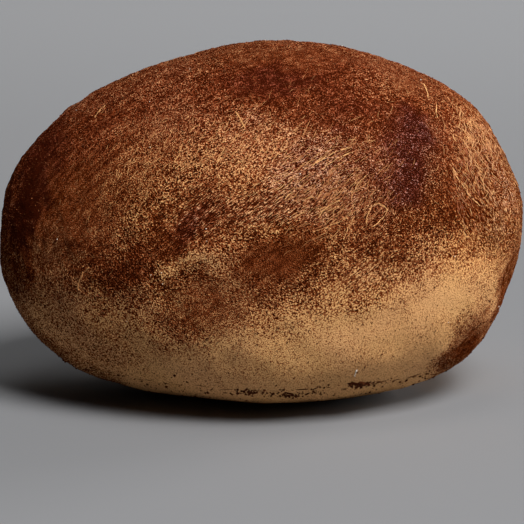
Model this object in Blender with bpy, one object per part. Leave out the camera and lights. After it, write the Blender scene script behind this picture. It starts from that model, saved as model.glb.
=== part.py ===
"""A kartoshka cake: one potato of soft cake crumb under a thin, smooth caramel coat.

The cake is a single solid. It starts as a cube with a fine grid on it, which is pushed out to a round ball and
stretched to an egg. Broad swells give the egg its heels, shoulders and ends, and small folds and dents give it
the shallow eyes of a potato. The base has settled flat where the cake stands.

+X runs along the cake, -Y is its front and +Z is up. The origin is on the ground, under the middle of the cake.
"""

import math
from collections import namedtuple

import bmesh
import bpy
import numpy as np

MM = 0.001

# Driving sizes of the cake
LENGTH = 73.5 * MM
DEPTH = 54 * MM
HEIGHT = 50 * MM
SETTLED = 0.6 * MM  # how far the round base has sunk to become flat

# Cells along each side of the cube that becomes the ball
GRID = 30

# Colour and finish of the dusted coat
COAT_COLOUR = (0.33, 0.15, 0.07, 1.0)
COAT_ROUGHNESS = 0.7

# A swell is a soft mound on the egg, or a dent where its rise is below zero. Its middle is given by azimuth
# (0 at the right end, -90 at the front, 90 at the back) and elevation, in degrees. It fades over the distances
# along and across, in millimetres, and turn is the angle of its long side from level, in degrees.
Swell = namedtuple("Swell", "azimuth elevation along across turn rise")

BROAD_SWELLS = {
    "left heel": Swell(180, -38, 18, 14, 0, 4.2),
    "right heel": Swell(0, -38, 17, 14, 0, 3.3),
    "front heel": Swell(-90, -42, 22, 10, 0, 2.2),
    "back heel": Swell(90, -42, 22, 10, 0, 2.2),
    "left flank": Swell(180, -62, 16, 12, 0, 0.3),
    "right flank": Swell(0, -62, 16, 12, 0, 0.8),
    "left shoulder": Swell(180, 38, 18, 14, 0, 0.8),
    "right shoulder": Swell(0, 38, 18, 14, 0, 1.7),
    "left brow": Swell(180, 70, 18, 14, 0, -0.7),
    "crown": Swell(0, 88, 20, 20, 0, 1.0),
    "left end": Swell(180, 12, 16, 9, 0, 2.0),
    "left cheek": Swell(180, -14, 16, 9, 0, 2.1),
    "right end": Swell(0, 4, 14, 6, 0, 0.9),
    "right cheek": Swell(0, -14, 14, 9, 0, -0.6),
}

FOLDS_AND_DENTS = {
    "front valley": Swell(-109, 14, 6.5, 2.4, 47, -0.30),
    "front middle dent": Swell(-87, 0, 6.0, 3.6, -10, -0.25),
    "front right fold": Swell(-54, 22, 8.0, 2.8, 98, -0.30),
    "front right dent": Swell(-31, -30, 4.5, 3.0, 30, -0.25),
    "crown dent": Swell(-83, 57, 5.0, 3.6, 0, -0.35),
    "right end bump": Swell(-16, 1, 4.0, 2.6, 90, 0.45),
    "left end dent": Swell(-160, 20, 5.0, 3.0, 70, -0.25),
    "back fold": Swell(118, 34, 8.0, 2.8, -40, -0.30),
    "back low dent": Swell(140, -8, 5.5, 4.0, 20, -0.30),
    "back right dent": Swell(38, 24, 6.0, 3.6, 75, -0.25),
    "top dent": Swell(60, 66, 6.0, 4.0, 30, -0.30),
}

# The eyes, each a short raised brow over a shallow hollow: azimuth, elevation, length in millimetres and turn
Eye = namedtuple("Eye", "azimuth elevation length turn")

EYES = {
    "front eye": Eye(-104, -3, 9.0, 6),
    "back eye": Eye(76, 10, 8.0, -12),
    "left eye": Eye(164, 30, 6.5, 15),
}
EYE_BROW_RISE = 0.45
EYE_HOLLOW_DEPTH = 0.50
EYE_HALF_OPENING = 2.6  # from the eye's middle up to its brow, and down to its hollow


def clear_scene():
    """Remove every object, so that only the cake is left."""
    for thing in list(bpy.data.objects):
        bpy.data.objects.remove(thing, do_unlink=True)


def egg_place(ball):
    """Points of the plain egg: each direction on the round ball, times the half sizes of the box."""
    return ball * np.array([LENGTH, DEPTH, HEIGHT]) / 2


def direction(azimuth, elevation):
    """The unit direction of an azimuth and an elevation."""
    turn = math.radians(azimuth)
    rise = math.radians(elevation)
    return np.array([math.cos(rise) * math.cos(turn), math.cos(rise) * math.sin(turn), math.sin(rise)])


def unit(vector):
    """The vector at length one."""
    return vector / np.linalg.norm(vector)


def swell_axes(swell):
    """Where a swell sits on the egg, its outward direction, and the directions of its long and short sides.

    The outward direction is the egg's normal there: each coordinate divided by its half size squared. The level
    direction is square to it and to the vertical, and the turn leans the long side up from level.
    """
    half = np.array([LENGTH, DEPTH, HEIGHT]) / 2
    middle = egg_place(direction(swell.azimuth, swell.elevation))
    outward = unit(middle / half**2)
    level = unit(np.cross([0, 0, 1], outward))
    upward = np.cross(outward, level)
    lean = math.radians(swell.turn)
    long_side = level * math.cos(lean) + upward * math.sin(lean)
    return middle, outward, long_side, np.cross(outward, long_side)


def swell_move(egg, swell):
    """How far each point of the egg moves: outward by the rise, fading as a bell curve along, across and in."""
    middle, outward, long_side, short_side = swell_axes(swell)
    offset = egg - middle
    along = swell.along * MM
    across = swell.across * MM
    spread = (offset @ long_side / along) ** 2 + (offset @ short_side / across) ** 2
    spread += (offset @ outward / along) ** 2
    return np.exp(-spread)[:, None] * outward * swell.rise * MM


def eye_swells(eye):
    """The two swells of an eye: a long thin brow above its middle and a rounder hollow below it."""
    lift = math.degrees(EYE_HALF_OPENING * MM / (HEIGHT / 2))
    half_length = eye.length / 2
    brow_width = 0.35 * half_length
    hollow_width = 0.65 * half_length
    return [
        Swell(eye.azimuth, eye.elevation + lift, half_length, brow_width, eye.turn, EYE_BROW_RISE),
        Swell(eye.azimuth, eye.elevation - lift, half_length, hollow_width, eye.turn, -EYE_HOLLOW_DEPTH),
    ]


def cake_place(ball):
    """Points of the finished cake, for directions on a round ball.

    The egg gets its swells, folds and eyes, is fitted to its box, and is pressed flat where it is below ground.
    """
    egg = egg_place(ball)
    swells = [*BROAD_SWELLS.values(), *FOLDS_AND_DENTS.values()]
    for eye in EYES.values():
        swells.extend(eye_swells(eye))
    place = egg + sum(swell_move(egg, swell) for swell in swells)
    low = place.min(axis=0)
    high = place.max(axis=0)
    box = np.array([LENGTH, DEPTH, HEIGHT + SETTLED])
    place = (place - (low + high) / 2) / (high - low) * box
    place[:, 2] += box[2] / 2 - SETTLED
    place[:, 2] = np.maximum(place[:, 2], 0)
    return place


def ball_mesh(name):
    """A round ball with the grid of a cube, whose cells are evened out by a tangent before they are rounded."""
    grid = bmesh.new()
    bmesh.ops.create_cube(grid, size=2)
    bmesh.ops.subdivide_edges(grid, edges=grid.edges[:], cuts=GRID - 1, use_grid_fill=True)
    bmesh.ops.recalc_face_normals(grid, faces=grid.faces[:])
    mesh = bpy.data.meshes.new(name)
    grid.to_mesh(mesh)
    grid.free()
    cube = read_points(mesh)
    even = np.tan(cube * math.pi / 4)
    write_points(mesh, even / np.linalg.norm(even, axis=1, keepdims=True))
    return mesh


def read_points(mesh):
    """The mesh's points as an array of rows."""
    flat = np.empty(len(mesh.vertices) * 3)
    mesh.vertices.foreach_get("co", flat)
    return flat.reshape(-1, 3)


def write_points(mesh, points):
    """Put an array of rows back into the mesh."""
    mesh.vertices.foreach_set("co", points.ravel())
    mesh.update()


def coat_material():
    """The dusted caramel coat: a plain, rather rough brown."""
    material = bpy.data.materials.new("dusted coat")
    material.use_nodes = True
    shader = material.node_tree.nodes["Principled BSDF"]
    shader.inputs["Base Color"].default_value = COAT_COLOUR
    shader.inputs["Roughness"].default_value = COAT_ROUGHNESS
    shader.inputs["Metallic"].default_value = 0
    return material


def make_cake(collection):
    """The whole cake as one closed solid."""
    mesh = ball_mesh("cake")
    write_points(mesh, cake_place(read_points(mesh)))
    mesh.shade_smooth()
    mesh.materials.append(coat_material())
    cake = bpy.data.objects.new("cake", mesh)
    collection.objects.link(cake)
    return cake


def main():
    clear_scene()
    collection = bpy.data.collections.new("kartoshka_cake")
    bpy.context.scene.collection.children.link(collection)
    make_cake(collection)


main()
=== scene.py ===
"""The looks of a kartoshka cake: its caramel coat, the cocoa brushed over it, and the loose grains on it.

The coat is one fine shell of the cake's own form. Two fields are worked out at every point of it: dust, how
much cocoa lies there, and stroke, how strongly the brush has combed it. In a few patches the dust also
paints shade or light into the colour: painted shade on the left end, the lower left edge and the right
foot, and painted light along the rims and on the eye's brow. The coat's material follows both fields, and
its fine relief and the places of the loose grains follow the dust.

Lengths are in millimetres here, and become Blender's metres where a mesh, a light or the camera is made.
"""

import math
from collections import namedtuple

import bpy
import numpy as np
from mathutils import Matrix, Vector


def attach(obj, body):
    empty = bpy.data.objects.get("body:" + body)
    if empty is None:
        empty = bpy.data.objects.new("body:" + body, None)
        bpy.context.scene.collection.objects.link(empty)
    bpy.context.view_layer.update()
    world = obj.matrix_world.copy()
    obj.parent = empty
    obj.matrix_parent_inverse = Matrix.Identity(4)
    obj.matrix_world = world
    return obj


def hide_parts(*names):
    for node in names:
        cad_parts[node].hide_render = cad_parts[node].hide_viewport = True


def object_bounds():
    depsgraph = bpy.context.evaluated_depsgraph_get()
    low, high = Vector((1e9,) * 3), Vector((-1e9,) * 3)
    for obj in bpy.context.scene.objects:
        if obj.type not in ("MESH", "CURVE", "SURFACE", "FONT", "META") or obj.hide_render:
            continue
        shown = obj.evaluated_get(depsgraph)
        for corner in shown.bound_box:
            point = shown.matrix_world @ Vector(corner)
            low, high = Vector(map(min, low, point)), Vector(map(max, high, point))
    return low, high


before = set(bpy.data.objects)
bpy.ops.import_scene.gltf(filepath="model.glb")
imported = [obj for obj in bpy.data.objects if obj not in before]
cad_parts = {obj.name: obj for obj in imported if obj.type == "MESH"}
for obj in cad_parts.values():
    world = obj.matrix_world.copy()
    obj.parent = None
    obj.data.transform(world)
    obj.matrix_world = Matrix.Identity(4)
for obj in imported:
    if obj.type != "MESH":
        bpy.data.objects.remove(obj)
cad_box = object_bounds()

MM = 0.001

# The cake's box, from the frame, in millimetres
LOW = np.array(cad_box[0]) / MM
HIGH = np.array(cad_box[1]) / MM
SIZE = HIGH - LOW
HALF = SIZE / 2
SETTLED = 0.6  # how far the round base has sunk to become flat

# The camera stands before the middle of the front, a little above it, and looks along +Y and down
PHOTO_SIDE = 524  # the photograph's width and height, in pixels
SENSOR = 36.0
CAMERA_DISTANCE = 400.0
CAMERA_RISE = math.radians(12)
PIXEL = 0.1415  # millimetres of the cake that one pixel shows
AIM = np.array([0.12, 0.0, 18.7])
SIGHT = np.array([0.0, math.cos(CAMERA_RISE), -math.sin(CAMERA_RISE)])
UPWARD = np.array([0.0, math.sin(CAMERA_RISE), math.cos(CAMERA_RISE)])
CAMERA_PLACE = AIM - SIGHT * CAMERA_DISTANCE
LENS = SENSOR * CAMERA_DISTANCE / (PHOTO_SIDE * PIXEL)

# Colours, as linear red, green and blue
CARAMEL = (0.590, 0.303, 0.114, 1)
CARAMEL_PALE = (0.770, 0.422, 0.172, 1)
GOLDEN = (0.70, 0.37, 0.14, 1)
RUBBED = (0.352, 0.118, 0.044, 1)
RUST = (0.238, 0.060, 0.0165, 1)
COCOA = (0.120, 0.0240, 0.0058, 1)
COCOA_DEEP = (0.038, 0.0058, 0.0010, 1)
COCOA_DRY = (0.26, 0.085, 0.032, 1)
# pale crystals, whose colour also paints glints of light
GLINT_PALE = (0.85, 0.78, 0.66, 1)
GLINT_DULL = (0.75, 0.62, 0.48, 1)
FLOOR_GREY = (0.18, 0.182, 0.188, 1)


# The form of the cake

Swell = namedtuple("Swell", "azimuth elevation along across turn rise")

BROAD_SWELLS = {
    "left heel": Swell(180, -38, 18, 14, 0, 4.2),
    "right heel": Swell(0, -38, 17, 14, 0, 3.3),
    "front heel": Swell(-90, -42, 22, 10, 0, 2.2),
    "back heel": Swell(90, -42, 22, 10, 0, 2.2),
    "left flank": Swell(180, -62, 16, 12, 0, 0.3),
    "right flank": Swell(0, -62, 16, 12, 0, 0.8),
    "left shoulder": Swell(180, 38, 18, 14, 0, 0.8),
    "right shoulder": Swell(0, 38, 18, 14, 0, 1.7),
    "left brow": Swell(180, 70, 18, 14, 0, -0.7),
    "crown": Swell(0, 88, 20, 20, 0, 1.0),
    "left end": Swell(180, 12, 16, 9, 0, 2.0),
    "left cheek": Swell(180, -14, 16, 9, 0, 2.1),
    "right end": Swell(0, 4, 14, 6, 0, 0.9),
    "right cheek": Swell(0, -14, 14, 9, 0, -0.6),
}

FOLDS_AND_DENTS = {
    "front valley": Swell(-109, 14, 6.5, 2.4, 47, -0.30),
    "front middle dent": Swell(-87, 0, 6.0, 3.6, -10, -0.25),
    "front right fold": Swell(-54, 22, 8.0, 2.8, 98, -0.30),
    "front right dent": Swell(-31, -30, 4.5, 3.0, 30, -0.25),
    "crown dent": Swell(-83, 57, 5.0, 3.6, 0, -0.35),
    "right end bump": Swell(-16, 1, 4.0, 2.6, 90, 0.45),
    "left end dent": Swell(-160, 20, 5.0, 3.0, 70, -0.25),
    "back fold": Swell(118, 34, 8.0, 2.8, -40, -0.30),
    "back low dent": Swell(140, -8, 5.5, 4.0, 20, -0.30),
    "back right dent": Swell(38, 24, 6.0, 3.6, 75, -0.25),
    "top dent": Swell(60, 66, 6.0, 4.0, 30, -0.30),
}

Eye = namedtuple("Eye", "azimuth elevation length turn")

EYES = {
    "front eye": Eye(-104, -3, 9.0, 6),
    "back eye": Eye(76, 10, 8.0, -12),
    "left eye": Eye(164, 30, 6.5, 15),
}
EYE_BROW_RISE = 0.45
EYE_HOLLOW_DEPTH = 0.50
EYE_HALF_OPENING = 2.6


def unit(vectors):
    """Vectors at length one, along the last axis."""
    return vectors / np.linalg.norm(vectors, axis=-1, keepdims=True)


def direction(azimuth, elevation):
    """The unit direction of an azimuth and an elevation, in degrees."""
    turn = np.radians(azimuth)
    rise = np.radians(elevation)
    return np.stack([np.cos(rise) * np.cos(turn), np.cos(rise) * np.sin(turn), np.sin(rise)], axis=-1)


def swell_move(egg, swell):
    """How far each point of the egg moves.

    It moves outward by the rise, which fades as a bell curve along, across and in.
    """
    middle = direction(swell.azimuth, swell.elevation) * HALF
    outward = unit(middle / HALF**2)
    level = unit(np.cross([0, 0, 1], outward))
    upward = np.cross(outward, level)
    lean = math.radians(swell.turn)
    long_side = level * math.cos(lean) + upward * math.sin(lean)
    short_side = np.cross(outward, long_side)
    offset = egg - middle
    spread = (offset @ long_side / swell.along) ** 2 + (offset @ short_side / swell.across) ** 2
    spread += (offset @ outward / swell.along) ** 2
    return np.exp(-spread)[:, None] * outward * swell.rise


def eye_swells(eye):
    """The two swells of an eye: a long thin brow above its middle and a rounder hollow below it."""
    lift = math.degrees(EYE_HALF_OPENING / HALF[2])
    half_length = eye.length / 2
    brow_width = 0.35 * half_length
    hollow_width = 0.65 * half_length
    return [
        Swell(eye.azimuth, eye.elevation + lift, half_length, brow_width, eye.turn, EYE_BROW_RISE),
        Swell(eye.azimuth, eye.elevation - lift, half_length, hollow_width, eye.turn, -EYE_HOLLOW_DEPTH),
    ]


def swollen_place(ball):
    """The egg with its swells, folds and eyes, for directions on a round ball."""
    egg = ball * HALF
    swells = [*BROAD_SWELLS.values(), *FOLDS_AND_DENTS.values()]
    for eye in EYES.values():
        swells.extend(eye_swells(eye))
    return egg + sum(swell_move(egg, swell) for swell in swells)


def cake_place(ball, reach):
    """Points of the cake: the swollen egg, fitted to the frame's box, and pressed flat below ground.

    The reach is the lowest and the highest corner of the whole swollen egg, from which it is fitted.
    """
    low, high = reach
    box = SIZE + [0, 0, SETTLED]
    place = (swollen_place(ball) - (low + high) / 2) / (high - low) * box
    place[:, 2] += box[2] / 2 - SETTLED
    place[:, 2] = np.maximum(place[:, 2], 0)
    return place


def tangents(ball):
    """Two square directions level with the ball at each of its points."""
    guide = np.where(np.abs(ball[:, 2:]) < 0.9, [[0.0, 0.0, 1.0]], [[1.0, 0.0, 0.0]])
    first = unit(np.cross(guide, ball))
    return first, np.cross(ball, first)


def cake_normals(ball, reach):
    """Outward normals of the cake, from three near points of it."""
    step = 0.01
    first, second = tangents(ball)
    middle = cake_place(ball, reach)
    right = cake_place(unit(ball + first * step), reach) - middle
    up = cake_place(unit(ball + second * step), reach) - middle
    return unit(np.cross(right, up))


# Fields over the surface

def smooth_step(values, start, end):
    """0 before start, 1 after end, and a smooth S between them."""
    part = np.clip((values - start) / (end - start), 0, 1)
    return part * part * (3 - 2 * part)


def ripple(points, wavelength, seed, waves=48):
    """A soft random field of about -1 to 1.

    It is a sum of plane waves of nearly one wavelength, in random directions and phases.
    """
    random = np.random.default_rng(seed)
    ways = unit(random.normal(size=(waves, 3)))
    lengths = wavelength * random.uniform(0.75, 1.35, waves)
    phases = random.uniform(0, 2 * math.pi, waves)
    swings = points @ (ways / lengths[:, None]).T * 2 * math.pi + phases
    return np.cos(swings).sum(axis=1) / math.sqrt(waves)


# A kind of waves over the surface: how far they swing each way, their length in millimetres, and their seed
Waves = namedtuple("Waves", "swing length seed")

THINNING_WAVES = [Waves(2.2, 11, 3), Waves(1.0, 4.5, 4)]  # of the height at which the dust thins out
SIDEWAYS_WAVES = [Waves(5, 6, 5), Waves(2.5, 2.6, 6)]  # of the edges of patches, in pixels
UPWARD_WAVES = [Waves(5, 6, 7), Waves(2.5, 2.6, 8)]
STROKE_WAVES = [Waves(0.3, 12, 9)]
POURED_WAVES = [Waves(0.10, 10, 21), Waves(0.04, 4, 22)]  # of the coat, as it was poured
COCOA_LUMPS = [Waves(0.05, 1.9, 23), Waves(0.035, 1.1, 24)]


def rippled(points, kinds):
    """These kinds of waves, added up."""
    return sum(kind.swing * ripple(points, kind.length, kind.seed) for kind in kinds)


def photo_place(points):
    """The photograph's pixel at which each point is seen: its offsets right and up, over its depth."""
    offset = points - CAMERA_PLACE
    scale = CAMERA_DISTANCE / PIXEL / (offset @ SIGHT)
    middle = PHOTO_SIDE / 2
    return middle + offset[:, 0] * scale, middle - offset @ UPWARD * scale


def facing(points, normals):
    """How squarely the surface faces the camera: 1 straight on, 0 at the outline and below 0 beyond it."""
    return -(normals * unit(points - CAMERA_PLACE)).sum(axis=1)


def near_front(points, normals):
    """1 where the photograph shows the surface, and fading to 0 a little beyond its outline."""
    return smooth_step(facing(points, normals), -0.25, -0.02)


# A patch of the front: its middle and half sizes in the photograph's pixels, its turn and its level
Patch = namedtuple("Patch", "x y long wide turn level")

# How much dust lies there: 0 for none, 1 for a full cover, and up to 1.9 for a thick one. Some patches,
# marked below, also paint shade or light into the colour.
FRONT_DUST_LIGHT_AND_SHADE = {
    "left shoulder": Patch(86, 152, 66, 36, 50, 1.22),
    "middle left": Patch(110, 220, 60, 55, 40, 1.08),
    "brushed left": Patch(168, 160, 56, 40, 50, 0.76),
    "brushed left low": Patch(130, 228, 26, 13, 40, 0.76),
    "brushed middle": Patch(258, 160, 84, 42, 32, 0.60),
    "brushed right middle": Patch(328, 170, 40, 40, 0, 0.98),
    "right light": Patch(470, 144, 54, 17, -66, 0.90),
    "right shade": Patch(467, 196, 38, 21, -70, 1.20),
    "right light low": Patch(499, 215, 42, 10, -84, 0.80),
    "right side low": Patch(462, 264, 36, 13, -4, 0.32),
    "right side": Patch(446, 242, 50, 15, -4, 0.50),
    "crown": Patch(275, 80, 70, 20, 2, 1.32),
    "crown thick": Patch(286, 84, 42, 14, 4, 1.50),
    "right crown": Patch(403, 80, 30, 13, -30, 0.86),
    "band start": Patch(296, 110, 46, 14, -12, 1.20),
    "band top": Patch(352, 104, 52, 14, -16, 1.30),
    "band bend": Patch(345, 126, 30, 10, -10, 1.30),
    "band corner": Patch(410, 124, 34, 20, -40, 1.15),
    "band side": Patch(368, 176, 24, 42, 0, 1.08),
    "band fall": Patch(405, 176, 54, 22, 96, 1.62),
    "band dark": Patch(418, 126, 22, 13, -62, 1.62),
    "band foot": Patch(402, 222, 46, 15, 8, 1.08),
    "middle": Patch(282, 262, 48, 25, 6, 1.19),
    "valley": Patch(190, 226, 40, 15, 52, 1.40),
    "valley foot": Patch(160, 246, 32, 15, 44, 1.18),
    "valley edge": Patch(238, 230, 24, 14, 50, 0.73),
    "left hollow": Patch(122, 276, 46, 18, 8, 1.28),
    "right middle": Patch(384, 280, 54, 23, -8, 0.47),
    "low middle": Patch(292, 311, 54, 16, 4, 0.38),
    "low middle right": Patch(336, 290, 26, 12, 0, 0.34),
    "eye hollow": Patch(208, 306, 36, 24, 4, 0.92),
    "eye foot": Patch(190, 332, 24, 16, 40, 0.90),
    "eye spot": Patch(198, 274, 14, 8, 0, 0.84),
    "eye left": Patch(173, 272, 12, 9, 55, 0.45),
    "eye right": Patch(223, 266, 19, 11, -58, 0.42),
    # partly painted highlight: thinner dust makes the brow's lit arc paler, besides its real ridge
    "eye brow": Patch(193, 259, 30, 7, 6, 0.22),
    # partly painted shade: the thickest dust darkens the shaded left end, besides real thick cocoa
    "left end": Patch(29, 196, 74, 17, 72, 1.90),
    "left end foot": Patch(22, 262, 30, 12, 88, 1.50),
    "left rim": Patch(12, 190, 66, 7, 76, 1.36),
    # partly painted light: thinner dust makes a lit edge low on the left end, besides real cocoa
    "left end low light": Patch(10, 268, 30, 12, 95, 1.00),
    "bare right": Patch(446, 301, 54, 31, 14, 0.00),
    "bare middle": Patch(360, 334, 100, 30, 4, 0.08),
    "right flank": Patch(486, 290, 36, 18, 78, 0.22),
    # partly painted shade: more dust darkens the low right end where the rim lamp lights it, besides cocoa
    "right end low": Patch(464, 347, 34, 15, 48, 1.34),
    "left low": Patch(100, 325, 60, 30, -30, 0.36),
    # partly painted shade: more dust darkens the lower left edge and foot for the shade there, besides cocoa
    "left low edge shade": Patch(50, 346, 40, 10, -46, 0.80),
    "left foot shade": Patch(92, 368, 50, 12, -34, 0.42),
    "low left speckle": Patch(230, 364, 90, 20, -4, 0.17),
    # partly painted light: thinner dust along the right rims stands in for grazing light, besides cocoa
    "right rim": Patch(478, 122, 62, 8, -56, 0.75),
    "right rim low light": Patch(514, 214, 50, 7, -82, 0.68),
    # partly painted shade: more dust darkens the right rim's foot where the rim lamp lights it, besides
    # cocoa
    "right rim foot shade": Patch(506, 292, 50, 6, 74, 1.14),
}

# How the brush has left the dust: 1 for combed, 0 for plain and -1 for rubbed smooth
COMBED_PATCHES = {
    "middle": Patch(322, 188, 62, 52, 35, 0.90),
    "right light": Patch(468, 160, 66, 30, -66, 0.70),
    "band": Patch(396, 168, 56, 26, 80, 0.80),
    "valley": Patch(218, 226, 46, 26, 50, 0.60),
    "left": Patch(72, 212, 84, 56, 62, -0.90),
    "crown": Patch(280, 84, 76, 22, 0, -0.20),
    "crown top": Patch(300, 56, 110, 15, -4, -0.80),
    "right crown": Patch(408, 84, 40, 18, -32, -0.80),
    "left crown": Patch(166, 124, 70, 40, 30, -0.45),
    "middle cocoa": Patch(280, 258, 56, 30, 4, -0.95),
    "eye hollow": Patch(208, 308, 54, 36, 4, -0.85),
    "low left": Patch(110, 330, 74, 44, -30, -0.20),
    "right rim": Patch(500, 300, 70, 14, 74, -0.90),
    "right end low": Patch(474, 340, 40, 18, 50, -0.90),
}

PATCH_POWER = 2.5  # a patch fades as a bell curve of the distance from its middle to this power
OUTLINE_RAGGED = 0.2  # how much of its raggedness an edge keeps at the cake's outline

# The patches on the hidden sides. Their sizes are parts of the radius of the ball of directions.
HIDDEN_PATCHES = 34
HIDDEN_AZIMUTHS = (-20, 200)
HIDDEN_ELEVATIONS = (-25, 85)
HIDDEN_SIZES = (0.12, 0.34)
HIDDEN_LEVELS = (0.62, 0.75, 1.15, 1.3)

BARE_HEIGHT = 6.0  # below this height the coat is nearly bare
FULL_HEIGHT = 27.0  # above this height the cocoa covers the coat
LEAST_DUST = 0.08
MEAN_STROKE = 0.4
STROKE_HEIGHTS = (14, 24)  # between these the strokes fade in


def hidden_dust(points, normals, dust):
    """The dust with soft random patches added on the sides that the photograph doesn't show."""
    random = np.random.default_rng(41)
    azimuths = random.uniform(*HIDDEN_AZIMUTHS, HIDDEN_PATCHES)
    elevations = random.uniform(*HIDDEN_ELEVATIONS, HIDDEN_PATCHES)
    middles = direction(azimuths, elevations)
    sizes = random.uniform(*HIDDEN_SIZES, HIDDEN_PATCHES)
    levels = random.choice(HIDDEN_LEVELS, HIDDEN_PATCHES)
    ways = unit(points - [0, 0, HALF[2]])
    high = smooth_step(points[:, 2], BARE_HEIGHT, FULL_HEIGHT)
    away = 1 - near_front(points, normals)
    for middle, size, level in zip(middles, sizes, levels):
        near = np.exp(-((np.linalg.norm(ways - middle, axis=1) / size) ** 4))
        dust = dust + (level * high - dust) * near * away
    return dust


def dust_on(points, normals):
    """How much cocoa lies at each point: a full cover that thins out below, changed by each patch.

    Some patches also paint shade or light into the colour, as marked in their table.
    """
    height = points[:, 2] + rippled(points, THINNING_WAVES)
    dust = LEAST_DUST + (1 - LEAST_DUST) * smooth_step(height, BARE_HEIGHT, FULL_HEIGHT)
    return patched(hidden_dust(points, normals, dust), FRONT_DUST_LIGHT_AND_SHADE, points, normals)


def patched(field, patches, points, normals):
    """A field over the surface, changed towards the level of each patch in turn.

    A patch is a soft oval in the photograph. Its edge is ragged, less so near the cake's outline.
    """
    x, y = photo_place(points)
    ragged = OUTLINE_RAGGED + (1 - OUTLINE_RAGGED) * smooth_step(facing(points, normals), 0.0, 0.5)
    x = x + ragged * rippled(points, SIDEWAYS_WAVES)
    y = y + ragged * rippled(points, UPWARD_WAVES)
    seen = near_front(points, normals)
    for patch in patches.values():
        turn = math.radians(patch.turn)
        right = x - patch.x
        up = patch.y - y
        along = (right * math.cos(turn) + up * math.sin(turn)) / patch.long
        across = (up * math.cos(turn) - right * math.sin(turn)) / patch.wide
        inside = np.exp(-((along**2 + across**2) ** (PATCH_POWER / 2))) * seen
        field = field + (patch.level - field) * inside
    return field


def stroke_on(points, normals):
    """How strongly the brush has combed the dust.

    It has done so in soft random fields and in the photograph's patches, and nowhere near the base.
    """
    combed = (MEAN_STROKE + rippled(points, STROKE_WAVES)) * smooth_step(points[:, 2], *STROKE_HEIGHTS)
    return patched(combed, COMBED_PATCHES, points, normals)


# The coat

COAT_GRID = 128  # cells along each side of the cube that becomes the ball
SHEET_INSET = 0.02  # bare edge of each face's square on the sheet for baking

# What is known of the coat at the points of its grid, for the pieces that lie on it
Surface = namedtuple("Surface", "ball reach places normals squares dust")


def cube_ball(cells):
    """A round ball with the grid of a cube.

    Each of the six faces is a square grid of whole numbers. Points shared by two faces are joined. Each
    number is evened out by a tangent, and the points are pushed out to length one. Returns the directions,
    the square cells as four point numbers each, and each cell corner's place on a sheet of three by two
    squares.
    """
    steps = np.arange(cells + 1)
    first, second = np.meshgrid(steps, steps, indexing="ij")
    first = first.ravel()
    second = second.ravel()
    flat = np.zeros_like(first)
    full = np.full_like(first, cells)
    faces = [
        (first, flat, second),
        (cells - first, full, second),
        (first, second, full),
        (first, cells - second, flat),
        (full, first, second),
        (flat, cells - first, second),
    ]
    lattice = np.concatenate([np.stack(face, axis=1) for face in faces])
    sheet = []
    for number in range(len(faces)):
        column, row = divmod(number, 2)
        across = (column + SHEET_INSET + (1 - 2 * SHEET_INSET) * second / cells) / 3
        along = (row + SHEET_INSET + (1 - 2 * SHEET_INSET) * first / cells) / 2
        sheet.append(np.stack([across, along], axis=1))
    sheet = np.concatenate(sheet)
    joined, number_of = np.unique(lattice, axis=0, return_inverse=True)
    number_of = number_of.ravel()
    corner = (steps[:-1, None] * (cells + 1) + steps[None, :-1]).ravel()
    square = np.stack([corner, corner + cells + 1, corner + cells + 2, corner + 1], axis=1)
    squares = np.concatenate([square + number * (cells + 1) ** 2 for number in range(len(faces))])
    ball = unit(np.tan((joined / cells * 2 - 1) * math.pi / 4))
    return ball, number_of[squares], sheet[squares].reshape(-1, 2)


def make_mesh(name, points, faces, material, smooth=True):
    """An object of these points, in millimetres, and faces, given as rows of point numbers."""
    mesh = bpy.data.meshes.new(name)
    mesh.from_pydata((points * MM).tolist(), [], list(faces))
    mesh.update()
    if smooth:
        mesh.shade_smooth()
    mesh.materials.append(material)
    piece = bpy.data.objects.new(name, mesh)
    bpy.context.scene.collection.objects.link(piece)
    return piece


def add_field(mesh, name, values):
    """Keep one number for each point of the mesh, for its material to read."""
    mesh.attributes.new(name, "FLOAT", "POINT").data.foreach_set("value", values.astype(np.float32))


def read_numbers(items, name):
    """One whole number of each of a mesh's items."""
    numbers = np.empty(len(items), int)
    items.foreach_get(name, numbers)
    return numbers


def add_sheet(mesh, corners):
    """The map on which each cell corner has its place, for baking."""
    mesh.uv_layers.new(name="OFBake").data.foreach_set("uv", corners.ravel().astype(np.float32))


TONE_CELLS = 16  # the sheet of a piece of many bits has this many cells a side, one for each tone
CELL_REACH = 0.4  # how far a face reaches from the middle of its cell, in cells


def keep_tones(mesh, tones, points_each):
    """Give each bit of the mesh its tone, and each face the cell of that tone on the sheet, for baking.

    A face lies in its cell as a regular polygon. Bits of one tone share a cell, as they look the same.
    """
    cells = np.round(np.clip(tones, 0, 1) * (TONE_CELLS**2 - 1)).astype(int)
    add_field(mesh, "tone", np.repeat(cells / (TONE_CELLS**2 - 1), points_each))
    corner_points = read_numbers(mesh.loops, "vertex_index")
    starts = read_numbers(mesh.polygons, "loop_start")
    counts = read_numbers(mesh.polygons, "loop_total")
    corner_number = np.arange(len(corner_points)) - np.repeat(starts, counts)
    turn = corner_number / np.repeat(counts, counts) * 2 * math.pi
    cell = cells[corner_points // points_each]
    middle = np.stack([cell % TONE_CELLS, cell // TONE_CELLS], axis=1) + 0.5
    corners = middle + CELL_REACH * np.stack([np.cos(turn), np.sin(turn)], axis=1)
    add_sheet(mesh, corners / TONE_CELLS)


def coat_relief(points, dust):
    """How far the coat stands off the plain form: slow waves from the pour, and lumps where cocoa lies."""
    lumps = rippled(points, COCOA_LUMPS) * smooth_step(dust, 0.4, 1.0)
    free = smooth_step(points[:, 2], 0.0, 2.0)
    return (rippled(points, POURED_WAVES) + lumps) * free


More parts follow.
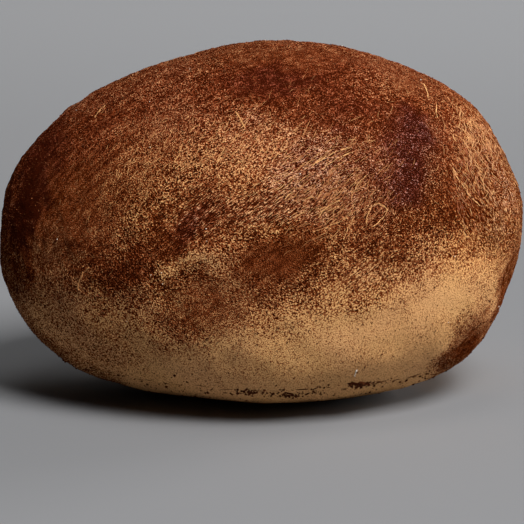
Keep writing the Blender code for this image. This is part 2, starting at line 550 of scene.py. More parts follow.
def coat_place(ball, reach):
    """The coat's points with their relief, kept in the cake's box, their normals, and the dust there."""
    plain = cake_place(ball, reach)
    normals = cake_normals(ball, reach)
    dust = dust_on(plain, normals)
    places = plain + normals * coat_relief(plain, dust)[:, None]
    return np.clip(places, LOW, HIGH), normals, dust


def make_coat(material):
    """The coat: the cake's form on a fine grid, with its relief along the normals, and its two fields."""
    ball, squares, sheet = cube_ball(COAT_GRID)
    swollen = swollen_place(ball)
    reach = (swollen.min(axis=0), swollen.max(axis=0))
    places, normals, dust = coat_place(ball, reach)
    coat = make_mesh("coat", places, squares, material)
    add_field(coat.data, "dust", dust)
    add_field(coat.data, "stroke", stroke_on(places, normals))
    add_sheet(coat.data, sheet)
    return coat, Surface(ball, reach, places, normals, squares, dust)


# Materials

class Wire:
    """A value in a material. Python's operators on it add Math nodes."""

    def __init__(self, recipe, socket):
        self.recipe = recipe
        self.socket = socket

    def math(self, operation, *others):
        values = dict(enumerate([self, *others]))
        return self.recipe.node("ShaderNodeMath", {"operation": operation}, values)

    def __add__(self, other):
        return self.math("ADD", other)

    __radd__ = __add__

    def __mul__(self, other):
        return self.math("MULTIPLY", other)

    __rmul__ = __mul__

    def __sub__(self, other):
        return self.math("SUBTRACT", other)

    def __rsub__(self, other):
        return self * -1 + other

    def between(self, start, end):
        """0 before start, 1 after end, and a smooth S between them."""
        sockets = {"Value": self, "From Min": start, "From Max": end}
        return self.recipe.node("ShaderNodeMapRange", {"interpolation_type": "SMOOTHSTEP"}, sockets)

    def stretched(self, gain, middle=0.5):
        """Noise around a half, made this much stronger and put around another middle."""
        return (self - 0.5) * gain + middle

    def mixed(self, other, share):
        """This value where the share is 0, and the other where it is 1."""
        return self + (other - self) * share


class Recipe:
    """A material under construction, with a Principled shader."""

    def __init__(self, name):
        self.material = bpy.data.materials.new(name)
        self.material.use_nodes = True
        self.tree = self.material.node_tree
        self.shader = self.tree.nodes["Principled BSDF"]

    def plug(self, socket, value):
        """Link a wire to a socket, or set a plain value on it."""
        if isinstance(value, Wire):
            self.tree.links.new(value.socket, socket)
        else:
            socket.default_value = value

    def node(self, kind, settings, sockets, output=0):
        """A node of this kind, its settings set before its sockets. A ramp's stops are a setting."""
        made = self.tree.nodes.new(kind)
        for name, value in settings.items():
            if name == "stops":
                self.set_stops(made.color_ramp.elements, value)
            else:
                setattr(made, name, value)
        for name, value in sockets.items():
            self.plug(made.inputs[name], value)
        return Wire(self, made.outputs[output])

    def set_stops(self, elements, stops):
        """Give a ramp its stops, each a position and a colour."""
        while len(elements) < len(stops):
            elements.new(1)
        for element, (position, colour) in zip(elements, stops):
            element.position = position
            element.color = colour

    def place(self):
        """The point being shaded, in millimetres from the origin."""
        metres = self.node("ShaderNodeTexCoord", {}, {}, "Object")
        return self.node("ShaderNodeVectorMath", {"operation": "SCALE"}, {0: metres, "Scale": 1 / MM})

    def measure(self, vector, axis):
        """One of a vector's three numbers."""
        return self.node("ShaderNodeSeparateXYZ", {}, {0: vector}, axis)

    def field(self, name):
        """A number kept on the points of the piece."""
        return self.node("ShaderNodeAttribute", {"attribute_name": name}, {}, "Fac")

    def noise(self, vector, scale, detail=0.0):
        """Soft noise around a half, with this many features to a millimetre."""
        sockets = {"Vector": vector, "Scale": scale, "Detail": detail}
        return self.node("ShaderNodeTexNoise", {}, sockets, "Fac")

    def blend(self, factor, first, second):
        """The first colour where the factor is 0 and the second where it is 1."""
        return self.node("ShaderNodeMix", {"data_type": "RGBA"}, {0: factor, 6: first, 7: second}, 2)

    def tinted(self, colour, tint):
        """The colour times the tint."""
        settings = {"data_type": "RGBA", "blend_type": "MULTIPLY"}
        return self.node("ShaderNodeMix", settings, {0: 1.0, 6: colour, 7: tint}, 2)

    def ramp(self, value, stops):
        """The colours of a ramp, by value."""
        return self.node("ShaderNodeValToRGB", {"stops": stops}, {"Fac": value})

    def combed(self, vector, along):
        """The place measured along a brush stroke's direction, slowly, and across it in two ways."""
        along = unit(np.array(along, float))
        side = unit(np.cross(along, UNCOMBED_WAY))
        ways = [side, np.cross(along, side), along * DRAWN_OUT]
        settings = {"operation": "DOT_PRODUCT"}
        parts = [
            self.node("ShaderNodeVectorMath", settings, {0: vector, 1: tuple(way)}, "Value") for way in ways
        ]
        return self.node("ShaderNodeCombineXYZ", {}, dict(enumerate(parts)))

    def finish(self, **sockets):
        """Set or link the shader's own sockets, whose names are given with _ for a space."""
        for name, value in sockets.items():
            self.plug(self.shader.inputs[name.replace("_", " ")], value)
        return self.material


# How many features each noise of the coat has to a millimetre
TINTS_TO_MM = 0.10
MOTTLES_TO_MM = 0.55
GRAINS_TO_MM = 5.2
FINE_TO_MM = 8.0
CURLS_TO_MM = 2.3
STROKES_TO_MM = 8.0
STREAKS_TO_MM = 3.2
SWEEPS_TO_MM = 1.4

# The ways the strokes run: up to the right over most of the cake, and down to the right on its right end
STROKE_RISING = (0.78, 0.0, 0.62)
STROKE_FALLING = (0.60, 0.10, -0.79)
UNCOMBED_WAY = (0.2, 1.0, 0.1)  # a way in which no stroke runs
DRAWN_OUT = 0.14  # how fast a stroke changes along its way, as a part of how fast it does across

# Where parts of the cake begin: the start and end of a soft edge, along the cake or in height
RIGHT_END = (22, 28)
UPPER_PART = (18, 26)
CROWN = (30, 44)

# The coat's colours by half its tone
TONE_COLOURS = [
    (0.03, COCOA_DEEP),
    (0.22, COCOA),
    (0.42, RUST),
    (0.56, RUBBED),
    (0.68, CARAMEL),
    (1.0, CARAMEL_PALE),
]
WHOLE_LIFT = 1.03  # added to the tone all over
THIN_LIFT = 0.44  # added to it where the dust is thin

# What the coat's texture is made of
GRAIN_SHARE = 0.72
CLUMP_SHARE = 0.28
CURL_PEAK = 0.72  # the texture at a curl's ridge
CURL_FALL = 4.0  # how fast it falls off to both sides, as its noise leaves a half
COMBED_SHARE = 0.65  # how much of it the strokes take where the dust is combed
RUBBED_FINE = 0.7  # how much of it the fine noise takes where the dust is rubbed
THIN_FINE = 0.6  # and where the dust is thin
MOST_FINE = 0.8
TEXTURE_GAIN = 6.4
MOTTLE_GAIN = 0.8
SWEEP_GAIN = 1.3
BUMP_DEPTH = 0.09  # in millimetres

# What the coat's colours are multiplied by
PLAIN_TINT = (1, 1, 1, 1)
COOL_TINT = (1.01, 0.98, 0.99, 1)
WARM_TINT = (1.01, 1.00, 0.95, 1)
RIGHT_TINT = (0.99, 0.90, 0.78, 1)
THICK_TINT = (0.97, 0.97, 1.60, 1)
COMBED_TINT = (1.01, 0.97, 1.16, 1)
CROWN_TINT = (1.02, 0.93, 1.05, 1)


def brushed_noises(recipe, place, on_right):
    """Noise drawn out along the brush's way: fine strokes, wider streaks and broad sweeps."""
    rising_way = recipe.combed(place, STROKE_RISING)
    falling_way = recipe.combed(place, STROKE_FALLING)
    return [
        recipe.noise(rising_way, features, 1).mixed(recipe.noise(falling_way, features, 1), on_right)
        for features in (STROKES_TO_MM, STREAKS_TO_MM, SWEEPS_TO_MM)
    ]


def coat_texture(recipe, place, dust, combed, rubbed, strokes, streaks):
    """The coat's fine noise, around a half.

    It is grains and curly clumps, drawn out into strokes and streaks where the dust is combed, and finer
    where it is rubbed smooth or thin.
    """
    grain = recipe.noise(place, GRAINS_TO_MM, 1)
    fine = recipe.noise(place, FINE_TO_MM, 1)
    curl = recipe.noise(place, CURLS_TO_MM, 1)
    curls = CURL_PEAK - (curl - 0.5).math("ABSOLUTE") * CURL_FALL
    clumps = curls.mixed(streaks.stretched(1.3, 0.45), combed)
    speckle = grain * GRAIN_SHARE + clumps * CLUMP_SHARE
    texture = speckle.mixed(strokes.stretched(1.6), combed * COMBED_SHARE)
    fineness = rubbed * RUBBED_FINE + (1 - dust.between(0.1, 0.4)) * THIN_FINE
    return texture.mixed(fine.stretched(2.3), fineness.math("MINIMUM", MOST_FINE))


def coat_tint(recipe, place, dust, combed, on_right):
    """The coat's slow changes of colour: all over, and on its right end, thick dust, strokes and crown."""
    upward = recipe.measure(place, "Z")
    high_up = upward.between(*UPPER_PART)
    slow = recipe.noise(place, TINTS_TO_MM, 1)
    tint = recipe.blend(slow.between(0.35, 0.65), COOL_TINT, WARM_TINT)
    tint = recipe.blend(on_right * high_up, tint, RIGHT_TINT)
    tint = recipe.blend(dust.between(1.1, 1.6) * high_up, tint, THICK_TINT)
    pinkish = combed.between(0.45, 0.85) * (1 - on_right)
    tint = recipe.tinted(tint, recipe.blend(pinkish, PLAIN_TINT, COMBED_TINT))
    return recipe.tinted(tint, recipe.blend(upward.between(*CROWN), PLAIN_TINT, CROWN_TINT))


def coat_material():
    """The dusted coat.

    The texture is made weaker where the dust is clotted, rubbed or nearly gone. The tone is that texture
    less the dust, which is uneven in mottles and sweeps. A ramp turns the tone into the colours, from thick
    cocoa through rubbed-in rust to bare caramel.
    """
    recipe = Recipe("dusted_coat")
    place = recipe.place()
    dust = recipe.field("dust")
    stroke = recipe.field("stroke")
    combed = stroke.between(-0.2, 1.1)
    rubbed = 1 - stroke.between(-1.0, 0.1)
    on_right = recipe.measure(place, "X").between(*RIGHT_END)
    strokes, streaks, sweeps = brushed_noises(recipe, place, on_right)
    mottles = recipe.noise(place, MOTTLES_TO_MM, 3)

    texture = coat_texture(recipe, place, dust, combed, rubbed, strokes, streaks)
    clotted = dust.between(0.9, 1.4) * (0.4 - combed * 0.35)
    strength = (0.57 + dust.between(0.05, 0.35) * 0.58) * (1 - clotted) * (1 - rubbed * 0.70)
    even = texture.stretched(strength * TEXTURE_GAIN)

    mottled = (mottles - 0.5) * dust.between(0.1, 0.5) * MOTTLE_GAIN
    swept = (sweeps - 0.5) * dust.between(0.4, 1.1) * SWEEP_GAIN
    thin = 1 - dust.between(0.0, 0.5)
    tone = even - (dust + (mottled + swept)) + (thin * THIN_LIFT + WHOLE_LIFT)
    colour = recipe.ramp(tone * 0.5, TONE_COLOURS)
    bare = tone.between(0.9, 1.4)
    height = even * (0.25 + dust.between(0.2, 0.9) * 0.75)
    relief = {"Height": height, "Distance": BUMP_DEPTH * MM, "Strength": 1.0}
    return recipe.finish(
        Base_Color=recipe.tinted(colour, coat_tint(recipe, place, dust, combed, on_right)),
        Roughness=0.9 - bare * 0.4,
        Normal=recipe.node("ShaderNodeBump", {}, relief),
        Specular_IOR_Level=0.0,
        Coat_Weight=bare * 0.2,
        Coat_Roughness=0.4,
    )


def cocoa_material():
    """Dry cocoa, a little redder or deeper from one grain to the next."""
    recipe = Recipe("cocoa_powder")
    colour = recipe.blend(recipe.field("tone"), COCOA_DEEP, COCOA_DRY)
    return recipe.finish(Base_Color=colour, Roughness=0.9, Specular_IOR_Level=0.05)


def bared_material():
    """Coat that a bristle has bared, a little paler or browner from one scratch to the next."""
    recipe = Recipe("bared_coat")
    colour = recipe.blend(recipe.field("tone"), RUST, GOLDEN)
    return recipe.finish(Base_Color=colour, Roughness=0.6, Specular_IOR_Level=0.1)


def glint_crystal_material():
    """Pale crystals that catch the light, whose pale colour also paints glints of light."""
    recipe = Recipe("glint_crystal")
    colour = recipe.blend(recipe.field("tone"), GLINT_DULL, GLINT_PALE)
    return recipe.finish(Base_Color=colour, Roughness=0.3, Specular_IOR_Level=0.4)


def floor_material():
    """A plain pale grey floor."""
    recipe = Recipe("floor_grey")
    return recipe.finish(Base_Color=FLOOR_GREY, Roughness=0.85)


# Loose grains

GRAIN_COUNT = 24000
GRAIN_SIZES = (0.045, 0.13)
GRAIN_LIFT = 0.15  # how far a grain's middle stands off the coat, as a part of its size
CORNER_REACH = (0.7, 1.3)  # of an uneven bit's six corners, as parts of its size
OCTAHEDRON_POINTS = np.array([[1, 0, 0], [-1, 0, 0], [0, 1, 0], [0, -1, 0], [0, 0, 1], [0, 0, -1]], float)
OCTAHEDRON_FACES = np.array(
    [[4, 0, 2], [4, 2, 1], [4, 1, 3], [4, 3, 0], [5, 2, 0], [5, 1, 2], [5, 3, 1], [5, 0, 3]]
)


def scatter(surface, weight, count, seed):
    """Random places on the coat, thicker where the weight is greater, and the normals there.

    A cell is drawn by its area times its weight, and a place in it by two even draws between its corners.
    """
    random = np.random.default_rng(seed)
    squares = surface.squares
    corners = surface.places[squares]
    normals = np.cross(corners[:, 2] - corners[:, 0], corners[:, 3] - corners[:, 1])
    area = np.linalg.norm(normals, axis=1) / 2
    share = area * weight[squares].mean(axis=1)
    chosen = random.choice(len(squares), count, p=share / share.sum())
    right, up = random.uniform(0, 1, (2, count, 1))
    low_side = corners[chosen, 0] * (1 - right) + corners[chosen, 1] * right
    high_side = corners[chosen, 3] * (1 - right) + corners[chosen, 2] * right
    return low_side * (1 - up) + high_side * up, unit(normals[chosen])


def turned(random, count):
    """Random turns, each as three square directions."""
    first = unit(random.normal(size=(count, 3)))
    second = unit(np.cross(first, random.normal(size=(count, 3))))
    return np.stack([first, second, np.cross(first, second)], axis=1)


def mostly_small(random, count, sizes, power):
    """Random sizes from the least to the most of these two, the more of them small the higher the power."""
    least, most = sizes
    return least + (most - least) * random.uniform(0, 1, (count, 1)) ** power


def make_bits(name, material, middles, size, random, lightest=1.0):
    """Small uneven octahedra of these sizes, turned at random, each with its own tone up to the lightest."""
    count = len(middles)
    corners = len(OCTAHEDRON_POINTS)
    radii = size[:, None] * random.uniform(*CORNER_REACH, (count, corners, 1))
    shapes = (OCTAHEDRON_POINTS * radii) @ turned(random, count)
    places = middles[:, None] + shapes
    numbers = OCTAHEDRON_FACES + corners * np.arange(count)[:, None, None]
    bits = make_mesh(name, places.reshape(-1, 3), numbers.reshape(-1, 3), material, smooth=False)
    keep_tones(bits.data, random.uniform(0, lightest, count), corners)
    return bits


def make_grains(material, surface):
    """Loose cocoa grains: small uneven octahedra, half sunk in the coat.

    Most of them lie where the dust is thin enough to show them one by one.
    """
    dust = surface.dust
    weight = 0.20 + 0.9 * smooth_step(dust, 0.05, 0.40) * (1 - 0.85 * smooth_step(dust, 0.7, 1.1))
    weight = weight * smooth_step(surface.places[:, 2], 0.6, 1.6)
    middles, outward = scatter(surface, weight, GRAIN_COUNT, 51)
    random = np.random.default_rng(52)
    size = mostly_small(random, GRAIN_COUNT, GRAIN_SIZES, 3)
    return make_bits("cocoa_grains", material, middles + outward * size * GRAIN_LIFT, size, random)


# The crystals that catch the light in the photograph, in its pixels
# their pale colour paints the glints there, besides real pale crystals
GLINTS = {
    "upper left": (190, 70),
    "eye brow": (206, 229),
    "eye brow low": (207, 241),
    "left hollow": (151, 275),
    "left hollow middle": (162, 272),
    "left hollow low": (163, 284),
    "left end": (57, 239),
}
# the chip's pale crystals also paint a glint
CHIP = np.array([[354, 375], [356, 369]], float)  # a flake of sugar near the base, from end to end
CHIP_CRYSTALS = 12
CHIP_SCALE = 1.5  # of its crystals, against the others
GLINTS_AROUND = 26
GLINT_SIZES = (0.05, 0.10)


def make_glints(material, surface):
    """Tiny pale crystals, which also paint glints of light: those at the given spots, and others all round.
    """
    random = np.random.default_rng(61)
    spots = np.concatenate([list(GLINTS.values()), np.linspace(*CHIP, CHIP_CRYSTALS)])
    spots = spots + random.normal(0, 0.2, spots.shape)
    front, _ = on_front(surface, spots)
    places, normals, _ = coat_place(front, surface.reach)
    weight = smooth_step(surface.places[:, 2], 6, 14)
    around, outward = scatter(surface, weight, GLINTS_AROUND, 62)
    middles = np.concatenate([places + normals * 0.05, around + outward * 0.04])
    size = random.uniform(*GLINT_SIZES, (len(middles), 1))
    size[len(GLINTS) : len(spots)] *= CHIP_SCALE
    return make_bits("glint_crystals", material, middles, size, random)


# Lines on the coat: brush scratches and the cracked seam above the base

def photo_columns(points):
    """The photograph's pixel of each point, as two columns."""
    return np.stack(photo_place(points), axis=1)


def ring_columns(points):
    """Each point's azimuth in degrees and its height, as two columns."""
    return np.stack([np.degrees(np.arctan2(points[:, 1], points[:, 0])), points[:, 2]], axis=1)


def facing_front(surface):
    """The grid points that the photograph shows."""
    return facing(surface.places, surface.normals) > 0.1


SPARSE = 13  # one grid point in so many is tried as a start
NEWTON_STEPS = 3
NEAR = 0.004  # how far off the near points are, on the ball, from which slopes are taken


def ball_where(surface, columns, wanted, allowed):
    """The ball's directions at which the coat has these two columns of measures.

    Each starts at the nearest of some allowed points of the grid and takes a few Newton steps, whose slopes
    come from two near points.
    """
    some = np.flatnonzero(allowed)[::SPARSE]
    measured = columns(surface.places[some]).astype(np.float32)
    wide = (wanted[:, :1].astype(np.float32) - measured[:, 0]) ** 2
    high = (wanted[:, 1:].astype(np.float32) - measured[:, 1]) ** 2
    ball = surface.ball[some[(wide + high).argmin(axis=1)]]
    for _ in range(NEWTON_STEPS):
        first, second = tangents(ball)
        here = columns(cake_place(ball, surface.reach))
        right = (columns(cake_place(unit(ball + first * NEAR), surface.reach)) - here) / NEAR
        up = (columns(cake_place(unit(ball + second * NEAR), surface.reach)) - here) / NEAR
        miss = wanted - here
        spread = right[:, 0] * up[:, 1] - right[:, 1] * up[:, 0]
        by_first = (miss[:, 0] * up[:, 1] - miss[:, 1] * up[:, 0]) / spread
        by_second = (miss[:, 1] * right[:, 0] - miss[:, 0] * right[:, 1]) / spread
        ball = unit(ball + first * by_first[:, None] + second * by_second[:, None])
    return ball


def on_front(surface, wanted):
    """The ball's directions that the photograph shows at these pixels, and which of them are truly met.

    A pixel outside the cake's outline is missed by the search, or is met on the far side.
    """
    ball = ball_where(surface, photo_columns, wanted, facing_front(surface))
    places = cake_place(ball, surface.reach)
    miss = np.linalg.norm(photo_columns(places) - wanted, axis=1)
    return ball, (miss < 1) & (facing(places, cake_normals(ball, surface.reach)) > 0)


LINE_STEPS = 9  # points along a line, with its two ends
RING_SIDES = 5
LINE_RINGS = LINE_STEPS - 2
LINE_POINTS = LINE_RINGS * RING_SIDES + 2


def line_faces(count):
    """The faces of so many lines: walls between each line's rings, and a fan of triangles to each end.

    A line's points are numbered ring by ring, with its first and last end after them.
    """
    ring = np.arange(RING_SIDES)
    after = (ring + 1) % RING_SIDES
    starts = np.arange(LINE_RINGS - 1)[:, None] * RING_SIDES
    walls = [ring + starts, after + starts, after + starts + RING_SIDES, ring + starts + RING_SIDES]
    last = (LINE_RINGS - 1) * RING_SIDES
    tip = LINE_RINGS * RING_SIDES
    first_fan = [after, ring, np.full_like(ring, tip)]
    last_fan = [ring + last, after + last, np.full_like(ring, tip + 1)]
    own = (np.arange(count) * LINE_POINTS)[:, None, None]
    faces = []
    for corners in (walls, first_fan, last_fan):
        shape = np.stack(corners, axis=-1).reshape(-1, len(corners))
        faces += (shape + own).reshape(-1, len(corners)).tolist()
    return faces


def make_lines(name, material, surface, balls, widths, heights, tones):
    """Thin tapered ridges along paths on the coat.

    A ridge has an oval section, as wide and as high as given, that swells from a point at each end by the
    root of a sine. Balls holds the path of each line, as directions on the ball, and tones its shade.
    """
    count = len(balls)
    places, normals, _ = coat_place(balls.reshape(-1, 3), surface.reach)
    places = places.reshape(count, LINE_STEPS, 3)
    normals = normals.reshape(count, LINE_STEPS, 3)
    along = unit(np.gradient(places, axis=1))
    side = np.cross(along, normals)
    swell = np.sqrt(np.sin(np.linspace(0, math.pi, LINE_STEPS)[1:-1]))[None, :, None, None]
    turn = np.linspace(0, 2 * math.pi, RING_SIDES, endpoint=False)[:, None]
    wide = side[:, 1:-1, None] * np.cos(turn) * widths[:, None, None, None] / 2
    high = normals[:, 1:-1, None] * np.sin(turn) * heights[:, None, None, None]
    rings = places[:, 1:-1, None] + (wide + high) * swell
    ends = places[:, [0, -1]]
    points = np.concatenate([rings.reshape(count, -1, 3), ends], axis=1)
    lines = make_mesh(name, points.reshape(-1, 3), line_faces(count), material)
    keep_tones(lines.data, tones, LINE_POINTS)
    return lines


# Scratches that stand out in the photograph, in its pixels: where each starts and ends, how far its middle
# bows to the left of that way, its width in millimetres, and its shade
Scratch = namedtuple("Scratch", "x y to_x to_y bow wide tone")

SCRATCHES = {
    "crown tick": Scratch(424, 84, 428, 99, 1.0, 0.20, 0.95),
    "shoulder tick": Scratch(436, 105, 438, 118, -1.0, 0.24, 1.00),
    "right long": Scratch(452, 168, 481, 206, -2.0, 0.18, 0.90),
    "right long upper": Scratch(470, 118, 492, 150, 2.0, 0.16, 0.60),
    "right short": Scratch(462, 128, 470, 142, 1.0, 0.18, 0.80),
    "right short low": Scratch(478, 172, 486, 190, 1.0, 0.16, 0.80),
    "curl left": Scratch(367, 224, 375, 204, 3.0, 0.15, 0.85),
    "curl top": Scratch(374, 204, 388, 210, 2.5, 0.14, 0.80),
    "curl right": Scratch(388, 209, 372, 227, 2.5, 0.15, 0.85),
    "curl tail": Scratch(352, 196, 366, 176, 2.0, 0.14, 0.70),
    "middle long": Scratch(315, 164, 350, 148, 2.0, 0.15, 0.90),
    "middle second": Scratch(322, 170, 354, 152, 2.0, 0.13, 0.85),
    "middle low": Scratch(318, 218, 340, 200, 2.5, 0.15, 0.85),
    "middle low second": Scratch(330, 226, 352, 212, -1.5, 0.13, 0.85),
    "middle rise": Scratch(344, 240, 356, 216, 1.5, 0.14, 0.80),
    "smear": Scratch(235, 111, 245, 129, 1.0, 0.26, 0.75),
    "left smear": Scratch(95, 118, 105, 104, 1.0, 0.20, 0.70),
    "left scratch": Scratch(79, 290, 89, 267, 3.0, 0.34, 0.42),
}

# Fields of finer strokes in the photograph: middle, half sizes, the way the strokes run and how much that
# varies, how long they are in pixels, how many there are and how thick they are in millimetres
StrokeField = namedtuple("StrokeField", "x y long wide turn vary length count thick")

STROKE_FIELDS = {
    "right light": StrokeField(470, 158, 32, 70, -70, 18, 9, 130, 0.06),
    "right light crossed": StrokeField(466, 152, 28, 60, 72, 16, 7, 110, 0.06),
    "right light strands": StrokeField(476, 158, 22, 66, -72, 20, 9, 190, 0.12),
    "middle": StrokeField(328, 188, 56, 54, 34, 12, 12, 380, 0.06),
    "middle strands": StrokeField(320, 188, 38, 40, 36, 9, 12, 60, 0.10),
    "middle crossed": StrokeField(345, 205, 40, 40, 75, 16, 8, 150, 0.06),
    "upper middle": StrokeField(240, 148, 90, 44, 42, 18, 8, 340, 0.06),
    "upper strands": StrokeField(226, 150, 80, 36, 48, 14, 11, 40, 0.09),
    "left": StrokeField(130, 190, 60, 70, 52, 16, 8, 200, 0.06),
    "right cocoa": StrokeField(388, 172, 26, 60, 58, 14, 10, 100, 0.05),
    "crown": StrokeField(290, 92, 90, 26, 20, 40, 6, 70, 0.05),
}
DASH = 4.0  # a scratch is broken into dashes about this long, in pixels
DASH_OVERLAP = 1.6  # how many times the dashes would cover their scratch
DASH_STRAY = 0.35  # how far their ends stray, in pixels

# Strokes on the hidden sides: the way they run over the ball, in degrees, and their lengths on it
STROKES_AROUND = 520
AROUND_TURN = 40
AROUND_VARY = 30
AROUND_LENGTHS = (0.02, 0.07)
AROUND_WIDTHS = (0.04, 0.09)
MARK_HEIGHT = 0.4  # of a bristle's mark, as a part of its width


def arched(part, bow):
    """How far a path bows at this part of its way: a parabola that is highest in the middle."""
    return 4 * part * (1 - part) * bow


def bowed(start, end, bow):
    """Paths from start to end that bow to the left in their middle."""
    part = np.linspace(0, 1, LINE_STEPS)[None, :, None]
    way = end - start
    left = np.stack([way[:, 1], -way[:, 0]], axis=1) / np.linalg.norm(way, axis=1, keepdims=True)
    straight = start[:, None] * (1 - part) + end[:, None] * part
    return straight + left[:, None] * arched(part, bow[:, None, None])


def broken_scratches(random):
    """The scratches, each broken into short dashes along its bowed path that overlap and stray a little.

    Returns the dashes as paths of pixels, their widths and their shades.
    """
    paths = []
    widths = []
    tones = []
    for scratch in SCRATCHES.values():
        start = np.array([scratch.x, scratch.y], float)
        way = np.array([scratch.to_x, scratch.to_y]) - start
        length = np.linalg.norm(way)
        left = np.array([way[1], -way[0]]) / length
        count = int(length / DASH * DASH_OVERLAP) + 1
        middle = np.linspace(0, 1, count)[:, None] + random.normal(0, 0.03, (count, 1))
        half = DASH / length * random.uniform(0.4, 0.9, (count, 1))
        ends = [np.clip(middle + side * half, 0, 1) for side in (-1, 1)]
        first, last = [
            start + way * part + left * arched(part, scratch.bow) + random.normal(0, DASH_STRAY, (count, 2))
            for part in ends
        ]
        paths.append(bowed(first, last, random.normal(0, 0.3, count)))
        widths.append(scratch.wide * random.uniform(0.35, 0.95, count))
        tones.append(scratch.tone * random.uniform(0.75, 1.1, count))
    return np.concatenate(paths), np.concatenate(widths), np.concatenate(tones)


def stroke_paths(random):
    """The fine strokes of the fields in the photograph, as paths of pixels, and their widths."""
    paths = []
    widths = []
    for field in STROKE_FIELDS.values():
        middle = [field.x, field.y] + random.normal(0, 0.5, (field.count, 2)) * [field.long, field.wide]
        turn = np.radians(field.turn + random.normal(0, field.vary, field.count))
        length = field.length * random.uniform(0.5, 1.5, field.count)
        half = np.stack([np.cos(turn), -np.sin(turn)], axis=1) * length[:, None] / 2
        paths.append(bowed(middle - half, middle + half, length * random.uniform(-0.15, 0.15, field.count)))
        widths.append(field.thick * random.uniform(0.6, 1.4, field.count))
    return np.concatenate(paths), np.concatenate(widths)


def around_paths(surface, random):
    """Fine strokes on the hidden sides, as paths on the ball."""
    weight = smooth_step(surface.places[:, 2], 16, 26) * ~facing_front(surface)
    chosen = random.choice(len(weight), STROKES_AROUND, p=weight / weight.sum())
    middle = surface.ball[chosen]
    first, second = tangents(middle)
    turn = np.radians(AROUND_TURN + random.normal(0, AROUND_VARY, STROKES_AROUND))[:, None]
    way = first * np.cos(turn) + second * np.sin(turn)
    reach = np.linspace(-0.5, 0.5, LINE_STEPS)[None, :, None]
    length = random.uniform(*AROUND_LENGTHS, STROKES_AROUND)[:, None, None]
    return unit(middle[:, None] + way[:, None] * reach * length)


def make_bristle_marks(material, surface):
    """The scratches and fine strokes in which the brush has bared the coat, paler where dust is thinner."""
    random = np.random.default_rng(71)
    scratches, scratch_widths, scratch_tones = broken_scratches(random)
    strokes, stroke_widths = stroke_paths(random)
    front = np.concatenate([scratches, strokes])
    balls, met = on_front(surface, front.reshape(-1, 2))
    whole = met.reshape(-1, LINE_STEPS).all(axis=1)
    around = around_paths(surface, random)
    balls = np.concatenate([balls.reshape(-1, LINE_STEPS, 3)[whole], around])
    widths = np.concatenate([scratch_widths, stroke_widths])[whole]
    widths = np.concatenate([widths, random.uniform(*AROUND_WIDTHS, len(around))])
    dust = coat_place(balls[:, LINE_STEPS // 2], surface.reach)[2]
    tones = random.uniform(0.0, 1.0, len(dust)) - 0.55 * smooth_step(dust, 0.7, 1.4)
    own_tones = scratch_tones[whole[: len(scratch_tones)]]
    tones[: len(own_tones)] = own_tones
    return make_lines("bristle_marks", material, surface, balls, widths, widths * MARK_HEIGHT, tones)


SEAM_HEIGHT = 5.2  # of the cracked line above the base
SEAM_STRAY = 0.25
SEAM_CRACKS = 60
CRACK_AZIMUTHS = (-176, 170)  # of the first and the last crack's start, in degrees
CRACK_LENGTHS = (2, 6.5)  # in degrees round the cake
CRACK_WIDTHS = (0.10, 0.30)
CRACK_HEIGHT = 0.3  # of a crack's rim, as a part of its width


def make_seams(material, surface):
    """The seam above the base: short dark cracks with cocoa in them, one after another round the cake."""
    random = np.random.default_rng(81)
    start = np.linspace(*CRACK_AZIMUTHS, SEAM_CRACKS) + random.uniform(-2, 2, SEAM_CRACKS)
    length = random.uniform(*CRACK_LENGTHS, SEAM_CRACKS)
    height = SEAM_HEIGHT + SEAM_STRAY * random.normal(0, 1, (2, SEAM_CRACKS))
    starts = np.stack([start, height[0]], axis=1)
    ends = np.stack([start + length, height[1]], axis=1)
    paths = bowed(starts, ends, random.uniform(-0.2, 0.2, SEAM_CRACKS))
    low = surface.places[:, 2] < 12
    balls = ball_where(surface, ring_columns, paths.reshape(-1, 2), low)
    widths = random.uniform(*CRACK_WIDTHS, SEAM_CRACKS)
    balls = balls.reshape(-1, LINE_STEPS, 3)
    tones = random.uniform(0, 0.4, SEAM_CRACKS)
    return make_lines("seam_cracks", material, surface, balls, widths, widths * CRACK_HEIGHT, tones)


# Groups of crumbs in the photograph: where they are, how far they spread, how many there are and their size
CrumbGroup = namedtuple("CrumbGroup", "x y long wide count size")

CRUMB_GROUPS = {
    "seam": CrumbGroup(270, 393, 50, 1.2, 70, 0.15),
    "seam left": CrumbGroup(248, 392, 12, 1.8, 30, 0.20),
    "seam middle": CrumbGroup(290, 395, 12, 1.5, 40, 0.20),
    "clump": CrumbGroup(360, 383, 11, 2.0, 64, 0.22),
    "clump tail": CrumbGroup(382, 381, 10, 0.8, 12, 0.13),
    "left edge": CrumbGroup(16, 292, 8, 6, 16, 0.20),
    "eye foot": CrumbGroup(200, 340, 14, 10, 16, 0.16),
    "right end": CrumbGroup(462, 322, 12, 12, 14, 0.13),
}
CRUMBS_AROUND = 220
CRUMB_SIZE = 0.2
CRUMB_RANGE = (0.5, 1.4)  # of crumbs' own sizes, as parts of their group's
SPECKS = 4000
SPECK_SIZES = (0.05, 0.13)
CRUMB_LIFT = 0.2  # how far a crumb's middle stands off the coat, as a part of its size
CRUMB_TONE = 0.4  # the lightest that one is


def crumb_spots(random):
    """The pixel and the size of each crumb in the groups."""
    spots = []
    sizes = []
    for group in CRUMB_GROUPS.values():
        spread = random.normal(0, 0.6, (group.count, 2)) * [group.long, group.wide]
        spots.append([group.x, group.y] + spread)
        sizes.append(group.size * random.uniform(*CRUMB_RANGE, (group.count, 1)))
    return np.concatenate(spots), np.concatenate(sizes)


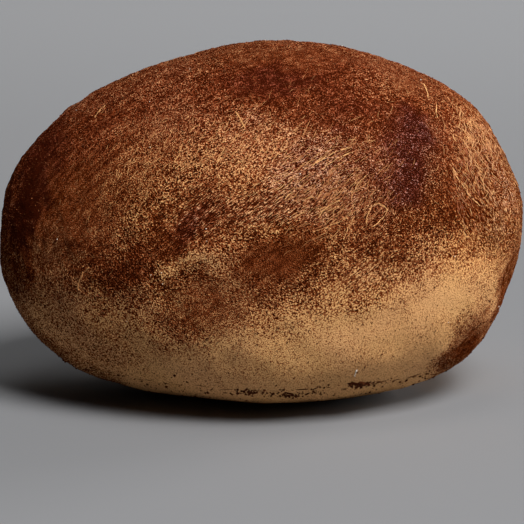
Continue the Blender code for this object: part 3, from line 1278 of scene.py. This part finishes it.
def make_crumbs(material, surface):
    """Larger crumbs of cocoa, in groups on the front and along the seam, and specks where dust is thin."""
    random = np.random.default_rng(91)
    spots, sizes = crumb_spots(random)
    front, met = on_front(surface, spots)
    places, normals, _ = coat_place(front[met], surface.reach)
    near_seam = np.exp(-(((surface.places[:, 2] - SEAM_HEIGHT) / 1.0) ** 2))
    clear = smooth_step(surface.places[:, 2], 0.8, 2.0)
    around, outward = scatter(surface, (near_seam + 0.01) * clear, CRUMBS_AROUND, 92)
    around_sizes = CRUMB_SIZE * random.uniform(*CRUMB_RANGE, (CRUMBS_AROUND, 1))
    thin = smooth_step(surface.dust, 0.0, 0.3) * (1 - smooth_step(surface.dust, 0.5, 0.9))
    specks, above = scatter(surface, thin * clear, SPECKS, 93)
    speck_sizes = mostly_small(random, SPECKS, SPECK_SIZES, 2)
    size = np.concatenate([sizes[met], around_sizes, speck_sizes])
    lift = np.concatenate([normals, outward, above]) * size * CRUMB_LIFT
    middles = np.concatenate([places, around, specks]) + lift
    return make_bits("cocoa_crumbs", material, middles, size, random, CRUMB_TONE)


# The studio

FLOOR_HALF = 1500


def make_floor():
    """A plain square floor under the cake."""
    corners = np.array([[-1, -1, 0], [1, -1, 0], [1, 1, 0], [-1, 1, 0]], float) * FLOOR_HALF
    floor = make_mesh("floor", corners, np.array([[0, 1, 2, 3]]), floor_material(), smooth=False)


def stand(name, data, place, forward):
    """Stand a light or the camera at a place, in millimetres, looking along forward, and return it."""
    thing = bpy.data.objects.new(name, data)
    bpy.context.scene.collection.objects.link(thing)
    back = unit(-np.array(forward, float))
    right = unit(np.cross([0, 0, 1], back))
    up = np.cross(back, right)
    rows = np.eye(4)
    rows[:3, :3] = np.stack([right, up, back], axis=1)
    rows[:3, 3] = np.array(place) * MM
    thing.matrix_world = rows.T.tolist()
    return thing


def make_camera():
    """The camera, which sees the cake as the photograph does."""
    lens = bpy.data.cameras.new("camera")
    lens.sensor_width = SENSOR
    lens.lens = LENS
    lens.clip_start = 0.01
    bpy.context.scene.camera = stand("camera", lens, CAMERA_PLACE, SIGHT)


# A lamp: the way to it from the cake, in degrees, how far off it is, its side and its power
Lamp = namedtuple("Lamp", "azimuth elevation distance side watts")

LAMPS = {
    "key": Lamp(-56, 50, 1500, 620, 36.0),
    "rim": Lamp(30, 10, 1500, 620, 20.0),
    "top": Lamp(-90, 80, 1500, 620, 3.4),
}
POOL_PLACE = np.array([0.0, 800.0, 900.0])  # a pool of light on the floor behind the cake
POOL_AIM = np.array([0.0, 620.0, 0.0])
POOL_WATTS = 26.0
FILL = 0.02  # strength of the even light from all round


def make_lights():
    """Soft square lamps round the cake, and a weak even fill."""
    middle = np.array([0, 0, HALF[2]])
    for name, lamp in LAMPS.items():
        light = bpy.data.lights.new(name, "AREA")
        light.size = lamp.side * MM
        light.energy = lamp.watts
        out = direction(lamp.azimuth, lamp.elevation)
        stand(name, light, middle + out * lamp.distance, -out)
    pool = bpy.data.lights.new("floor pool", "SPOT")
    pool.spot_size = math.radians(60)
    pool.spot_blend = 1
    pool.shadow_soft_size = 0.1
    pool.energy = POOL_WATTS
    stand("floor pool", pool, POOL_PLACE, POOL_AIM - POOL_PLACE)
    world = bpy.data.worlds.new("studio")
    world.use_nodes = True
    background = world.node_tree.nodes["Background"]
    background.inputs["Color"].default_value = (1, 1, 1, 1)
    background.inputs["Strength"].default_value = FILL
    bpy.context.scene.world = world
    bpy.context.scene.view_settings.view_transform = "Standard"


make_camera()
make_lights()
make_floor()

coat, surface = make_coat(coat_material())
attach(coat, "root")
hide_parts("cake")

cocoa = cocoa_material()
grains = make_grains(cocoa, surface)
crumbs = make_crumbs(cocoa, surface)
seams = make_seams(cocoa, surface)
for piece in (grains, crumbs, seams):
    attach(piece, "root")

marks = make_bristle_marks(bared_material(), surface)
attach(marks, "root")

glints = make_glints(glint_crystal_material(), surface)
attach(glints, "root")
